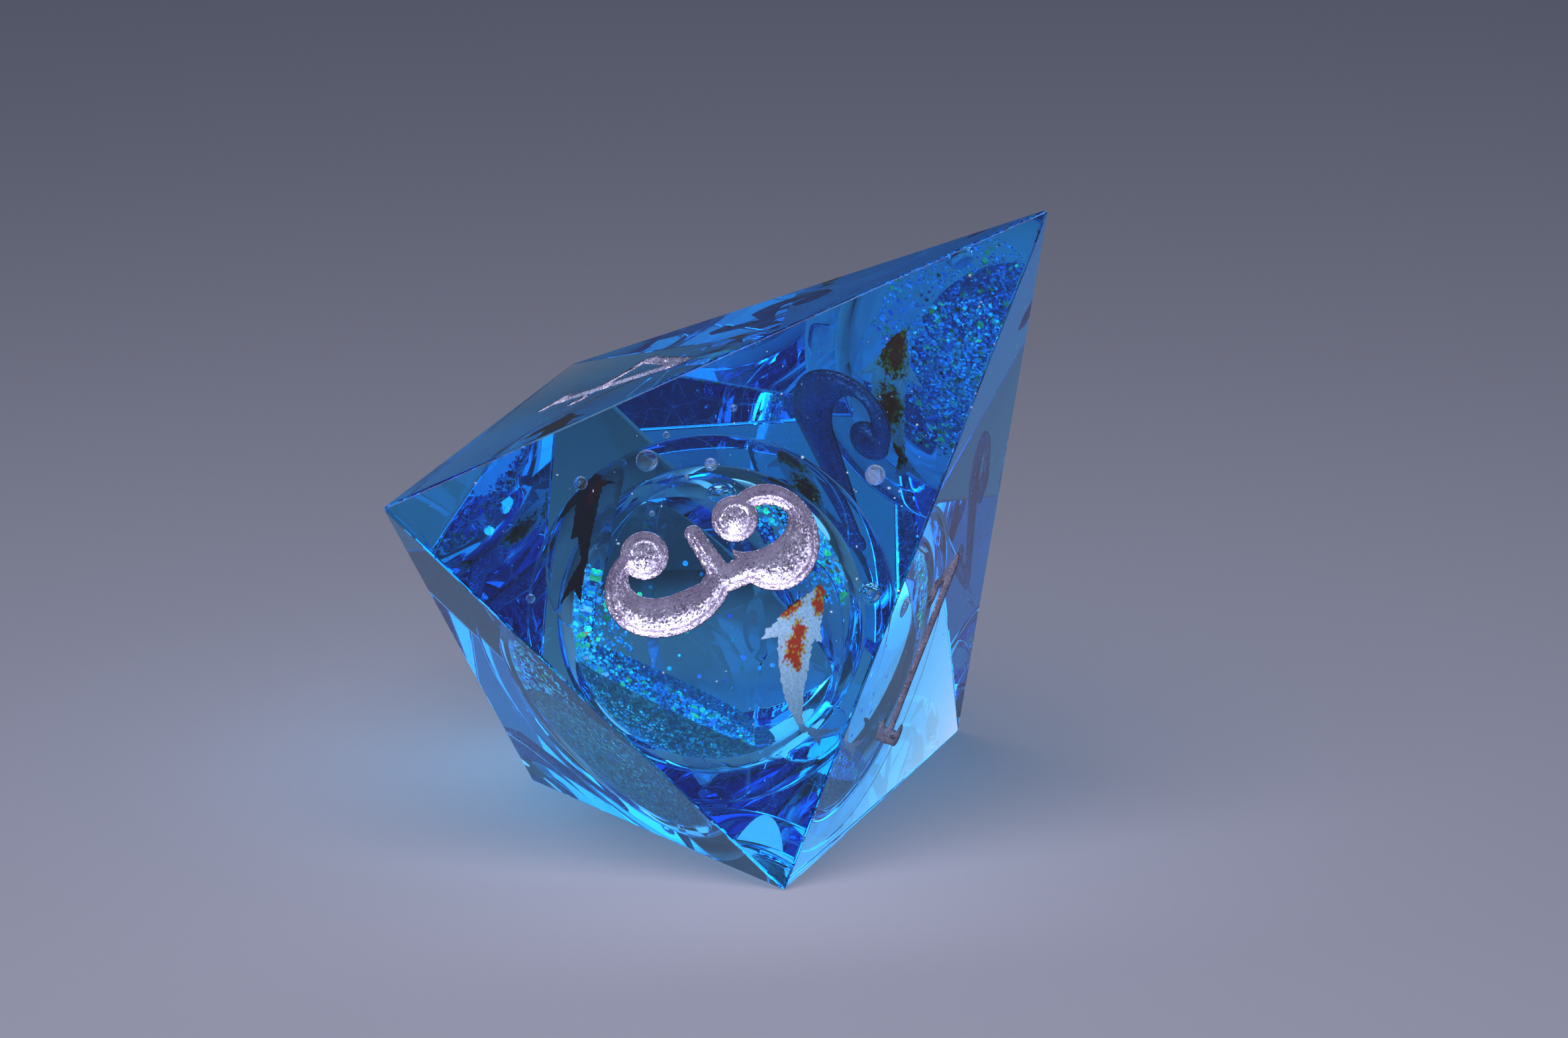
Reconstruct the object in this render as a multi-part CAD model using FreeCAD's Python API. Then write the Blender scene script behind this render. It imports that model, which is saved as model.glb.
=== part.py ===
import FreeCAD, Part
import math
import os

# A cast resin die with a liquid core, lying on one of its short faces.
# Its body is a square bipyramid with one long and one short pyramid, which meet at the square girdle.
# The body and its numbers are worked out in the die's own axes, with the girdle on the XY plane and the
# long pyramid's tip on +Z, and then laid down. What floats or settles in the core is worked out as it lies.
# Sizes are in millimetres.

Vector = FreeCAD.Vector
ORIGIN = Vector(0, 0, 0)

# The resin body
GIRDLE_SIDE = 17.5
LONG_HEIGHT = 19.4
SHORT_HEIGHT = 7.7

# The numbers pressed into the long faces, and the paint in them
POCKET_DEPTH = 0.35
PAINT_THICKNESS = 0.25

# The hollow globe cast into the body, off its axis towards the girdle corner at +X -Y
GLOBE_DIAMETER = 11.8
GLOBE_WALL = 0.95
GLOBE_RISE = 1.46
GLOBE_SHIFT = 1.37
SEAM_TILT = 11.5
FILL_HOLE_DIAMETER = 1.0
FILL_HOLE_DIRECTION = Vector(-0.60, 0.65, 0.45)

# The clear film stickers wrapped on the globe, each with one printed fish. A sticker is drawn flat, as seen
# from outside the globe: X to the right, Y the way the fish swims, about the place where it touches.
FILM_THICKNESS = 0.10
PRINT_THICKNESS = 0.04
STALK_WIDTH = 0.24
STALK_OVERLAP = 0.15
FISH = {
    "front": {
        "place": Vector(0.72, -0.68, -0.03),
        "heading": Vector(0.10, 0.22, 1.0),
        "nose": (0.45, 2.72),
        "left": [(-0.52, 2.17), (-1.09, 1.62), (-0.95, 0.6), (-0.7, -0.29), (-0.32, -1.01), (0.25, -1.64)],
        "right": [(0.6, 2.55), (0.57, 2.16), (0.47, 1.55), (0.2, 0.9), (0.22, -0.65), (0.46, -1.5)],
        "stalk": (0.80, -2.05),
        "tail": [(1.75, -2.6), (1.55, -2.2), (2.4, -1.95)],
        "fins": [
            [(-1.05, 1.55), (-1.4, 1.25), (-1.57, 0.9), (-0.9, 1.1)],
            [(0.4, 1.6), (0.58, 1.0), (0.15, 1.1)],
        ],
        "film": [(0.15, 0.1, 1.5, 3.3), (-0.8, 1.3, 1.3, 1.3), (1.4, -2.2, 1.35, 1.1)],
    },
    "side": {
        "place": Vector(-0.55, -0.50, 0.60),
        "heading": Vector(-0.08, 0.72, 0.62),
        "nose": (-0.35, 2.5),
        "left": [(-0.55, 1.8), (-0.1, 0.26), (-0.03, -0.56), (0.25, -0.5), (0.48, -1.24)],
        "right": [(0.25, 2.1), (0.75, 1.2), (0.92, 0.1), (0.86, -0.9)],
        "stalk": (0.66, -1.6),
        "tail": [(-0.6, -2.5), (0.15, -2.25), (0.35, -2.8)],
        "fins": [
            [(-0.4, 2.1), (-1.1, 1.5), (-1.25, 0.65), (-0.2, 1.1)],
            [(0.2, 1.9), (1.25, 1.4), (0.5, 1.4)],
        ],
        "film": [(0.0, -0.1, 1.6, 3.2)],
    },
    "back": {
        "place": Vector(0.28, 0.80, 0.52),
        "heading": Vector(-0.12, -0.55, 0.80),
        "nose": (-0.35, 2.6),
        "left": [(-0.65, 1.7), (-0.6, 0.6), (-0.55, -0.7)],
        "right": [(0.2, 2.1), (0.7, 1.1), (0.65, 0.1), (0.1, -1.0)],
        "stalk": (-0.30, -1.9),
        "tail": [(-1.0, -2.85), (-0.4, -2.35), (0.25, -2.8)],
        "fins": [[(-0.5, 1.7), (-1.2, 0.8), (-0.4, 1.1)], [(0.45, 1.6), (1.25, 0.8), (0.6, 1.0)]],
        "film": [(0.0, -0.1, 1.65, 3.3)],
    },
}

# What the globe holds
RUNNING_GAP = 0.05
SETTLED_LAYER = 0.65
BED_THICKNESS = 0.42
BED_SPREAD = 52.0
BUBBLE_SPREAD = 10.0
FLAKE_ACROSS = 0.42
FLAKE_THICKNESS = 0.04
FLAKE_COLOURS = ("green", "red", "violet", "black")
LYING_FLAKES = 44
DRIFTING_FLAKES = 14
GOLDEN_ANGLE = 180.0 * (3.0 - math.sqrt(5.0))

half_side = GIRDLE_SIDE / 2.0
globe_radius = GLOBE_DIAMETER / 2.0
chamber_radius = globe_radius - GLOBE_WALL
settled_radius = chamber_radius - RUNNING_GAP
liquid_radius = settled_radius - SETTLED_LAYER - RUNNING_GAP

long_tip = Vector(0, 0, LONG_HEIGHT)
short_tip = Vector(0, 0, -SHORT_HEIGHT)
girdle = [
    Vector(-half_side, -half_side, 0),
    Vector(half_side, -half_side, 0),
    Vector(half_side, half_side, 0),
    Vector(-half_side, half_side, 0),
]


def resting_placement():
    """The turn and shift that lay the die on the short face over the girdle side at +X."""
    tilt = math.degrees(math.atan2(SHORT_HEIGHT, half_side))
    turned = FreeCAD.Placement(ORIGIN, FreeCAD.Rotation(Vector(0, 1, 0), tilt))
    corners = [turned.multVec(corner) for corner in girdle + [long_tip, short_tip]]
    box = FreeCAD.BoundBox(corners[0], corners[0])
    for corner in corners:
        box.add(corner)
    drop = Vector(-(box.XMin + box.XMax) / 2.0, -(box.YMin + box.YMax) / 2.0, -box.ZMin)
    return FreeCAD.Placement(drop, turned.Rotation)


RESTING = resting_placement()


def laid_down(shape):
    """A copy of a shape made in the die's own axes, moved to where it lies."""
    placed = shape.copy()
    placed.Placement = RESTING.multiply(placed.Placement)
    return placed


globe_centre = RESTING.multVec(Vector(GLOBE_SHIFT / math.sqrt(2), -GLOBE_SHIFT / math.sqrt(2), GLOBE_RISE))


# ---- small shapes that the sub-parts share ----

def shell(inner, outer):
    """A hollow ball about the globe's centre."""
    return Part.makeSphere(outer, globe_centre).cut(Part.makeSphere(inner, globe_centre))


def facing(direction, heading=None):
    """The placement at the globe's centre with Z along direction and Y as near to heading as it can be."""
    normal = Vector(direction).normalize()
    along = Vector(heading) if heading else Vector(0, 0, 1)
    along = (along - normal * along.dot(normal)).normalize()
    across = along.cross(normal)
    turn = FreeCAD.Rotation(across, along, normal, "ZYX")
    return FreeCAD.Placement(globe_centre, turn)


def oval(x, y, half_width, half_height):
    """A flat ellipse."""
    wide = half_width >= half_height
    curve = Part.Ellipse(ORIGIN, max(half_width, half_height), min(half_width, half_height))
    edge = curve.toShape()
    if not wide:
        edge.rotate(ORIGIN, Vector(0, 0, 1), 90)
    edge.translate(Vector(x, y, 0))
    return Part.Face(Part.Wire([edge]))


def disc(x, y, radius):
    """A flat disc."""
    return Part.Face(Part.Wire([Part.makeCircle(radius, Vector(x, y, 0))]))


def bar(x1, y1, x2, y2, width1, width2):
    """A flat stroke between two points, which tapers from one width to the other and has round ends."""
    start = Vector(x1, y1, 0)
    end = Vector(x2, y2, 0)
    side = (end - start).cross(Vector(0, 0, 1)).normalize()
    corners = [
        start + side * (width1 / 2.0),
        end + side * (width2 / 2.0),
        end - side * (width2 / 2.0),
        start - side * (width1 / 2.0),
    ]
    body = Part.Face(Part.makePolygon(corners + [corners[0]]))
    return [body, disc(x1, y1, width1 / 2.0), disc(x2, y2, width2 / 2.0)]


def bowl(outer, inner, openings):
    """A crescent: an ellipse less a smaller one, opened by boxes given as x, y, width and height."""
    crescent = oval(*outer).cut(oval(*inner))
    for x, y, width, height in openings:
        crescent = crescent.cut(Part.makePlane(width, height, Vector(x, y, 0)))
    return [crescent]


# ---- the numbers: swelling strokes that end in balls, 6.5 to 7.1 high and centred on their own middles ----

def strokes_of_1():
    return (
        bar(0.25, 2.7, 0.25, -2.9, 1.05, 0.85)
        + bar(0.15, 2.85, -1.15, 1.85, 0.7, 0.4)
        + [disc(-1.15, 1.72, 0.52)]
        + bar(-1.1, -3.05, 1.6, -3.05, 0.5, 0.5)
        + [disc(-1.15, -2.92, 0.38), disc(1.65, -2.92, 0.38)]
    )


def strokes_of_2():
    return (
        bowl((0, 1.6, 1.85, 1.75), (-0.38, 1.5, 0.74, 1.15), [(-2.5, -0.4, 2.8, 1.25), (-2.5, 0, 1.4, 1.2)])
        + [disc(-1.1, 1.2, 0.74)]
        + bar(1.08, 0.95, -1.35, -2.7, 1.4, 0.5)
        + bar(-1.45, -2.95, 1.3, -2.95, 0.78, 0.78)
        + [disc(1.5, -2.5, 0.52)]
    )


def strokes_of_3():
    upper = (0.0, 2.05, 1.72, 1.5)
    lower = (0.0, -1.48, 1.64, 2.1)
    return (
        bowl(upper, (-0.45, 1.74, 0.65, 1.06), [(-2.5, 0.2, 2.65, 0.55), (-2.5, 0, 1.5, 1.25)])
        + [disc(-1.0, 1.25, 0.74)]
        + bar(0.62, 1.0, 0.62, -0.2, 0.9, 0.8)
        + bar(0.5, 0.14, -1.1, -0.14, 0.74, 0.56)
        + bowl(lower, (-0.4, -1.38, 0.79, 1.24), [(-2.5, -1.15, 2.9, 1.75), (-2.5, -1.8, 1.4, 2)])
        + [disc(-1.1, -1.82, 0.77)]
    )


def strokes_of_4():
    return (
        bar(0.75, 2.9, 0.75, -2.95, 0.95, 0.8)
        + bar(0.65, 2.95, -1.6, -0.8, 0.7, 0.5)
        + bar(-1.6, -1.0, 1.8, -1.0, 0.62, 0.5)
        + [disc(-1.62, -0.95, 0.5), disc(1.85, -1.0, 0.4)]
        + bar(0.1, -3.1, 1.4, -3.1, 0.46, 0.46)
    )


NUMBERS = {"1": (1, strokes_of_1), "2": (2, strokes_of_2), "3": (0, strokes_of_3), "4": (3, strokes_of_4)}


def face_placement(side):
    """Where a number sits on a long face: at its inscribed circle's centre, upright along the left edge."""
    left = girdle[side]
    right = girdle[(side + 1) % 4]
    slope = long_tip - (left + right) * 0.5
    edge = (long_tip - left).Length
    inscribed = GIRDLE_SIDE * slope.Length / (GIRDLE_SIDE + 2.0 * edge)
    centre = (left + right) * 0.5 + Vector(slope).normalize() * inscribed
    outward = (right - left).cross(slope).normalize()
    upright = (long_tip - left).normalize()
    turn = FreeCAD.Rotation(upright.cross(outward), upright, outward, "ZYX")
    return FreeCAD.Placement(centre, turn)


def number_prism(name, top, bottom):
    """The number's outline from one depth under its face to another."""
    side, strokes = NUMBERS[name]
    solids = []
    for face in strokes():
        solid = face.extrude(Vector(0, 0, top - bottom))
        solid.translate(Vector(0, 0, bottom))
        solids.append(solid)
    prism = solids[0].multiFuse(solids[1:]).removeSplitter()
    prism = prism.Solids[0]
    prism.Placement = face_placement(side).multiply(prism.Placement)
    return laid_down(prism)


# ---- the fish stickers ----

def flat_face(points):
    """A flat face with straight sides."""
    corners = [Vector(x, y, 0) for x, y in points]
    return Part.Face(Part.makePolygon(corners + [corners[0]]))


def fish_outline(fish):
    """One fish as flat faces that overlap: a body, a forked tail and two fins. Its sides run from the nose
    to the stalk that the tail grows from."""
    stalk_x, stalk_y = fish["stalk"]
    stalk = [(stalk_x + STALK_WIDTH / 2.0, stalk_y), (stalk_x - STALK_WIDTH / 2.0, stalk_y)]
    body = [fish["nose"]] + fish["right"] + stalk + fish["left"][::-1]
    tail = [(x, y + STALK_OVERLAP) for x, y in stalk] + fish["tail"]
    return [flat_face(piece) for piece in [body, tail] + fish["fins"]]


def wrapped(faces, fish, inner, outer):
    """Flat faces pressed on to the globe as a layer between two radii."""
    columns = [face.extrude(Vector(0, 0, 2.0 * globe_radius)) for face in faces]
    column = columns[0]
    if len(columns) > 1:
        column = columns[0].multiFuse(columns[1:]).removeSplitter()
    column.Placement = facing(fish["place"], fish["heading"])
    return shell(inner, outer).common(column)


def sticker(fish):
    """The clear film, and the printed fish on it."""
    film_top = globe_radius + FILM_THICKNESS
    film = wrapped([oval(*piece) for piece in fish["film"]], fish, globe_radius, film_top)
    ink = wrapped(fish_outline(fish), fish, film_top, film_top + PRINT_THICKNESS)
    return film.Solids[0], ink.Solids[0]


# ---- the globe and what it holds ----

def globe_parts():
    """Two half globes that meet on a nearly upright seam, and the plug that closes the fill hole."""
    globe = shell(chamber_radius, globe_radius)
    reach = 2.0 * GLOBE_DIAMETER
    half_space = Part.makeBox(reach, reach, reach, Vector(0, -reach / 2.0, -reach / 2.0))
    half_space.Placement = FreeCAD.Placement(globe_centre, FreeCAD.Rotation(Vector(0, 1, 0), -SEAM_TILT))
    drill = Part.makeCylinder(FILL_HOLE_DIAMETER / 2.0, GLOBE_DIAMETER)
    drill.Placement = facing(FILL_HOLE_DIRECTION)
    right_half = globe.common(half_space)
    left_half = globe.cut(half_space)
    plug = left_half.common(drill)
    return left_half.cut(drill).Solids[0], right_half.Solids[0], plug.Solids[0]


def cap_layer(direction, inner, outer, spread):
    """A layer between two radii, inside a cone of the given half angle."""
    height = 2.0 * globe_radius
    cone = Part.makeCone(0, height * math.tan(math.radians(spread)), height)
    cone.Placement = facing(direction, Vector(1, 0, 0))
    return shell(inner, outer).common(cone).Solids[0]


def flake(distance, polar, around, tilt):
    """A hexagonal flake at a polar angle from straight down, turned a little out of the layer it lies in."""
    points = []
    for corner in range(6):
        angle = math.radians(60.0 * corner)
        points.append(Vector(math.cos(angle), math.sin(angle), 0) * (FLAKE_ACROSS / 2.0))
    plate = Part.Face(Part.makePolygon(points + [points[0]])).extrude(Vector(0, 0, FLAKE_THICKNESS))
    plate.rotate(ORIGIN, Vector(1, 0, 0), tilt)
    plate.translate(Vector(0, 0, distance))
    plate.rotate(ORIGIN, Vector(1, 0, 0), 180.0 - polar)
    plate.rotate(ORIGIN, Vector(0, 0, 1), around)
    plate.translate(globe_centre)
    return plate


def lying_flakes():
    """The flakes on top of the bed, sorted by colour: an even spiral out from straight down."""
    distance = liquid_radius + RUNNING_GAP + (SETTLED_LAYER - BED_THICKNESS) / 2.0
    groups = {colour: [] for colour in FLAKE_COLOURS}
    for index in range(LYING_FLAKES):
        polar = 0.85 * BED_SPREAD * math.sqrt((index + 0.5) / LYING_FLAKES)
        tilt = 12.0 * math.sin(2.4 * index)
        colour = FLAKE_COLOURS[index % len(FLAKE_COLOURS)]
        groups[colour].append(flake(distance, polar, index * GOLDEN_ANGLE, tilt))
    return groups


def drifting_flakes():
    """The flakes that still hang in the liquid: a loose spiral round its lower half."""
    flakes = []
    for index in range(DRIFTING_FLAKES):
        polar = 35.0 + 90.0 * (index + 0.5) / DRIFTING_FLAKES
        distance = liquid_radius * (0.62 + 0.25 * math.sin(1.7 * index))
        flakes.append(flake(distance, polar, index * GOLDEN_ANGLE, 40.0 * math.cos(index)))
    return flakes


# ---- the resin body ----

def bipyramid():
    """The faceted outside of the die."""
    faces = []
    for side in range(4):
        left = girdle[side]
        right = girdle[(side + 1) % 4]
        for tip in (long_tip, short_tip):
            faces.append(Part.Face(Part.makePolygon([left, right, tip, left])))
    return laid_down(Part.makeSolid(Part.makeShell(faces)))


def build():
    """Every sub-part by its name."""
    parts = {}
    hollows = [Part.makeSphere(globe_radius, globe_centre)]
    for name in NUMBERS:
        floor = -POCKET_DEPTH
        parts["digit_" + name] = number_prism(name, floor + PAINT_THICKNESS, floor)
        hollows.append(number_prism(name, POCKET_DEPTH, floor))
    for name, fish in FISH.items():
        film, ink = sticker(fish)
        parts["koi_" + name + "_film"] = film
        parts["koi_" + name + "_print"] = ink
        hollows += [film, ink]
    body = bipyramid()
    for hollow in hollows:
        body = body.cut(hollow)
    parts["resin_body"] = body.Solids[0]

    left_half, right_half, plug = globe_parts()
    parts["globe_half_left"] = left_half
    parts["globe_half_right"] = right_half
    parts["fill_plug"] = plug

    drifting = drifting_flakes()
    parts["core_liquid"] = Part.makeSphere(liquid_radius, globe_centre).cut(drifting).Solids[0]
    parts["drift_flakes"] = Part.makeCompound(drifting)

    layer_top = liquid_radius + RUNNING_GAP
    bed_top = settled_radius - BED_THICKNESS
    parts["glitter_bed"] = cap_layer(Vector(0, 0, -1), bed_top, settled_radius, BED_SPREAD)
    for colour, flakes in lying_flakes().items():
        parts["flakes_" + colour] = Part.makeCompound(flakes)
    parts["air_bubble"] = cap_layer(Vector(0, 0, 1), layer_top, settled_radius, BUBBLE_SPREAD)
    return parts


os.makedirs("parts", exist_ok=True)
for part_name, part_shape in build().items():
    part_shape.exportStep("parts/" + part_name + ".step")
    box = part_shape.BoundBox
    print(part_name, part_shape.isValid(), len(part_shape.Solids), round(part_shape.Volume, 3), box)
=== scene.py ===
import math

import bmesh
import bpy
import numpy as np
from mathutils import Matrix, Vector, noise
from mathutils.geometry import delaunay_2d_cdt


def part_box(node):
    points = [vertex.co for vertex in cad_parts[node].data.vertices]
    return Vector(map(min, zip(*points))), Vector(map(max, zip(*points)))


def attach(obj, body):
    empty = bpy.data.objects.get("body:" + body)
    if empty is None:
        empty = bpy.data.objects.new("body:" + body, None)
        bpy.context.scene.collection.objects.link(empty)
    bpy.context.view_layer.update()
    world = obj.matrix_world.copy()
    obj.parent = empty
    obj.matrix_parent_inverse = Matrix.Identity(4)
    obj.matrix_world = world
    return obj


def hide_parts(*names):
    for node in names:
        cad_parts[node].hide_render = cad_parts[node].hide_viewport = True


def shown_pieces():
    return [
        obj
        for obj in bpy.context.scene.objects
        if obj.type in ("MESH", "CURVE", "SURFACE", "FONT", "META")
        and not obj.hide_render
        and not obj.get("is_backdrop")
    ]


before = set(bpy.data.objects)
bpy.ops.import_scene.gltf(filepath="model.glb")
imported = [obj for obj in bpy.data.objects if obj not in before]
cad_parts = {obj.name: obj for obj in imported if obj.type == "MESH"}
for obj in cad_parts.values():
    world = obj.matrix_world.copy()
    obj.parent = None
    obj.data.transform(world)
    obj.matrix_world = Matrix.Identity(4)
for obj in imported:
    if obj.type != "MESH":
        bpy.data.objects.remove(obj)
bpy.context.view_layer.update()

# A cast resin die with a liquid core, on a pale floor.
# Shapes are worked out in millimetres in the frame's axes, from the CAD nodes, and scaled when they are made.
MM = 0.001
JOIN_DISTANCE = 2e-5
rng = np.random.default_rng(11)

# The resin body
EDGE_ROUND = 0.08
EDGE_SEGMENTS = 3
RESIN_INDEX = 1.50
RESIN_CLEAR = (0.02, 0.785, 0.99)
RESIN_DENSITY = 165.0

# The number pockets and the paint in them
POCKET_DEPTH = 0.34
POCKET_ROUND = 0.24
RIM_RIDGE = 0.05
RIM_RIDGE_DEPTH = 0.16
RIM_RIDGE_WIDTH = 0.05
CURL_DEPTH = 0.09
CURL_WIDTH = 0.055
PAINT_LAYER = 0.05
RELIEF_STEP = 0.048

# The globe and its liquid
GLOBE_FIT = 0.02
GLOBE_WALL = 0.95
LIQUID_GAP = 0.01
PLASTIC_INDEX = 1.49
LIQUID_INDEX = 1.36


# ---- the frame ----

def triangles_of(node_name):
    """A CAD node's triangles in millimetres, with their centres and outward normals."""
    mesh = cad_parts[node_name].data
    mesh.calc_loop_triangles()
    places = np.empty(3 * len(mesh.vertices), np.float32)
    mesh.vertices.foreach_get("co", places)
    corners = np.empty(3 * len(mesh.loop_triangles), np.int32)
    mesh.loop_triangles.foreach_get("vertices", corners)
    found = places.reshape(-1, 3)[corners].reshape(-1, 3, 3).astype(float) / MM
    normals = np.cross(found[:, 1] - found[:, 0], found[:, 2] - found[:, 0])
    normals /= np.maximum(np.linalg.norm(normals, axis=1, keepdims=True), 1e-12)
    return found, found.mean(axis=1), normals


def unit(vector):
    vector = np.asarray(vector, float)
    return vector / np.linalg.norm(vector)


body_points = triangles_of("resin_body")[0].reshape(-1, 3)


def body_corner(*weights):
    """The corner of the body that lies furthest along a direction."""
    return body_points[np.argmax(body_points @ np.array(weights, float))]


LEFT = body_corner(-1.0, -1.0, 0.3)
NEAR = body_corner(0.0, -1.0, -1.0)
RIGHT = body_corner(0.0, 1.0, -1.0)
FAR = body_corner(-1.0, 1.0, 0.3)
LONG_TIP = body_corner(0.2, 0.0, 1.0)
SHORT_TIP = body_corner(-0.5, 0.0, -1.0)
GIRDLE = [LEFT, NEAR, RIGHT, FAR]

globe_boxes = [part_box("globe_half_left"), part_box("globe_half_right")]
globe_low = np.min([low for low, high in globe_boxes], axis=0) / MM
globe_high = np.max([high for low, high in globe_boxes], axis=0) / MM
GLOBE = (globe_low + globe_high) / 2.0
GLOBE_RADIUS = float(globe_high[2] - globe_low[2]) / 2.0
CHAMBER_RADIUS = GLOBE_RADIUS - GLOBE_WALL


class Plane:
    """Flat axes: across, up and outward, about an origin."""

    def __init__(self, origin, outward, up):
        self.origin = np.asarray(origin, float)
        self.outward = unit(outward)
        up = np.asarray(up, float)
        self.up = unit(up - self.outward * (up @ self.outward))
        self.across = np.cross(self.up, self.outward)

    def flat(self, points):
        """Points as across and up."""
        offset = points - self.origin
        return np.stack([offset @ self.across, offset @ self.up], axis=-1)

    def raised(self, flat, height):
        """Flat points at a height, back in the frame."""
        height = np.broadcast_to(height, len(flat))
        return (self.origin + flat[:, :1] * self.across + flat[:, 1:2] * self.up
                + height[:, None] * self.outward)

    def wrapped(self, flat, radius):
        """Flat points pressed on to a ball about the origin."""
        rise = np.sqrt(np.maximum(radius ** 2 - (flat ** 2).sum(axis=1), 0.0))
        return self.raised(flat, rise)


def long_face(side):
    """The plane of one long face, about its inscribed circle's centre, upright along its left edge."""
    left, right = GIRDLE[side], GIRDLE[(side + 1) % 4]
    ways = (LONG_TIP - right, LONG_TIP - left, right - left)
    lengths = [np.linalg.norm(way) for way in ways]
    centre = (lengths[0] * left + lengths[1] * right + lengths[2] * LONG_TIP) / sum(lengths)
    return Plane(centre, np.cross(right - left, LONG_TIP - left), LONG_TIP - left)


# ---- outlines and sheets ----

def rim_of(triangles):
    """The edges that only one of the triangles has, as pairs of points."""
    points, index = np.unique(np.round(triangles.reshape(-1, 3), 4), axis=0, return_inverse=True)
    corners = index.reshape(-1, 3)
    edges = np.sort(np.concatenate([corners[:, [0, 1]], corners[:, [1, 2]], corners[:, [2, 0]]]), axis=1)
    edges, count = np.unique(edges, axis=0, return_counts=True)
    return points[edges[count == 1]]


def finer(edges, step):
    """Flat edges cut into pieces no longer than a step."""
    pieces = []
    for start, end in edges:
        count = max(1, math.ceil(np.linalg.norm(end - start) / step))
        stops = start + (end - start) * np.linspace(0.0, 1.0, count + 1)[:, None]
        pieces += list(zip(stops[:-1], stops[1:]))
    return np.array(pieces)


def depth_inside(points, edges):
    """How far flat points lie inside an outline: the distance to it, negative outside."""
    nearest = np.full(len(points), np.inf)
    within = np.zeros(len(points), bool)
    for start, end in edges:
        step = end - start
        offset = points - start
        share = np.clip(offset @ step / max(step @ step, 1e-12), 0.0, 1.0)
        nearest = np.minimum(nearest, np.linalg.norm(offset - share[:, None] * step, axis=1))
        crosses = (start[1] > points[:, 1]) != (end[1] > points[:, 1])
        if start[1] != end[1]:
            x = start[0] + (points[:, 1] - start[1]) * step[0] / step[1]
            within ^= crosses & (points[:, 0] < x)
    return np.where(within, nearest, -nearest)


def filled(edges, step, frame_points=()):
    """Flat triangles over an outline: points, triangles, each point's depth, and which triangles are inside.
    Frame points lie outside it, and the triangles then reach out to them."""
    low = edges.reshape(-1, 2).min(axis=0)
    high = edges.reshape(-1, 2).max(axis=0)
    grid = np.stack(np.meshgrid(np.arange(low[0], high[0], step), np.arange(low[1], high[1], step)), axis=-1)
    grid = grid.reshape(-1, 2)
    grid[:, 0] += 0.5 * step * (np.round((grid[:, 1] - low[1]) / step) % 2)
    grid = grid[depth_inside(grid, edges) > 0.45 * step]
    ends, index = np.unique(np.round(edges.reshape(-1, 2), 5), axis=0, return_inverse=True)
    points = np.concatenate([np.asarray(frame_points, float).reshape(-1, 2), ends, grid])
    links = index.reshape(-1, 2) + len(frame_points)
    links = links[links[:, 0] != links[:, 1]]
    pairs = [tuple(map(int, pair)) for pair in links]
    made = delaunay_2d_cdt([Vector(point) for point in points], pairs, [], 0, 1e-6)
    points = np.array([tuple(point) for point in made[0]])
    triangles = np.array(made[2])
    depth = depth_inside(points, edges)
    depth[np.abs(depth) < 1e-4] = 0.0
    inside = depth_inside(points[triangles].mean(axis=1), edges) > 0.0
    return points, triangles, depth, inside


def closed_sheet(triangles, top, bottom):
    """A thin closed solid between two sheets of the same triangles: points and faces. Where top and bottom
    are the same point, they are joined, and a triangle that this makes flat is left out."""
    count = len(top)
    joined = np.linalg.norm(top - bottom, axis=1) < JOIN_DISTANCE
    triangles = triangles[~joined[triangles].all(axis=1)]
    edges = np.concatenate([triangles[:, [0, 1]], triangles[:, [1, 2]], triangles[:, [2, 0]]])
    known = {tuple(edge) for edge in edges.tolist()}
    rim = [edge for edge in edges.tolist() if (edge[1], edge[0]) not in known]
    faces = triangles.tolist() + (triangles[:, ::-1] + count).tolist()
    faces += [[a, a + count, b + count, b] for a, b in rim]
    return np.concatenate([top, bottom]), faces


# ---- pieces ----

def mesh_piece(name, points, faces, materials, smooth=True, indices=None, tints=None):
    """A mesh object from points in millimetres. Tints are one colour for each point."""
    mesh = bpy.data.meshes.new(name)
    mesh.from_pydata((np.asarray(points) * MM).tolist(), [], [list(face) for face in faces])
    for material in materials:
        mesh.materials.append(material)
    made = bmesh.new()
    made.from_mesh(mesh)
    bmesh.ops.remove_doubles(made, verts=made.verts, dist=JOIN_DISTANCE * MM)
    made.to_mesh(mesh)
    made.free()
    mesh.polygons.foreach_set("use_smooth", np.full(len(mesh.polygons), smooth))
    if indices is not None:
        mesh.polygons.foreach_set("material_index", indices)
    if tints is not None:
        layer = mesh.color_attributes.new("tint", "FLOAT_COLOR", "POINT")
        colours = np.concatenate([tints, np.ones((len(tints), 1))], axis=1).astype(np.float32)
        layer.data.foreach_set("color", colours.ravel())
    mesh.update()
    made_object = bpy.data.objects.new(name, mesh)
    bpy.context.scene.collection.objects.link(made_object)
    return made_object


def join_up(piece, body, slot, *nodes):
    """The piece rides a body and stands for CAD nodes, which are hidden. The slot is not used."""
    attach(piece, body)
    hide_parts(*nodes)
    return piece


def ball(radius, detail=5):
    """The points and faces of a ball about zero."""
    made = bmesh.new()
    bmesh.ops.create_icosphere(made, subdivisions=detail, radius=radius)
    points = np.array([tuple(vert.co) for vert in made.verts])
    faces = np.array([[vert.index for vert in face.verts] for face in made.faces])
    made.free()
    return points, faces


def scattered(template, places, turns, sizes):
    """Copies of a template's points and faces: places, turns as three axes each, and sizes."""
    points, faces = template
    copies = np.einsum("nij,pj->npi", turns, points) * sizes[:, None, None] + places[:, None, :]
    every = []
    for index in range(len(places)):
        every += [[corner + index * len(points) for corner in face] for face in faces]
    return copies.reshape(-1, 3), every


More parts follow.
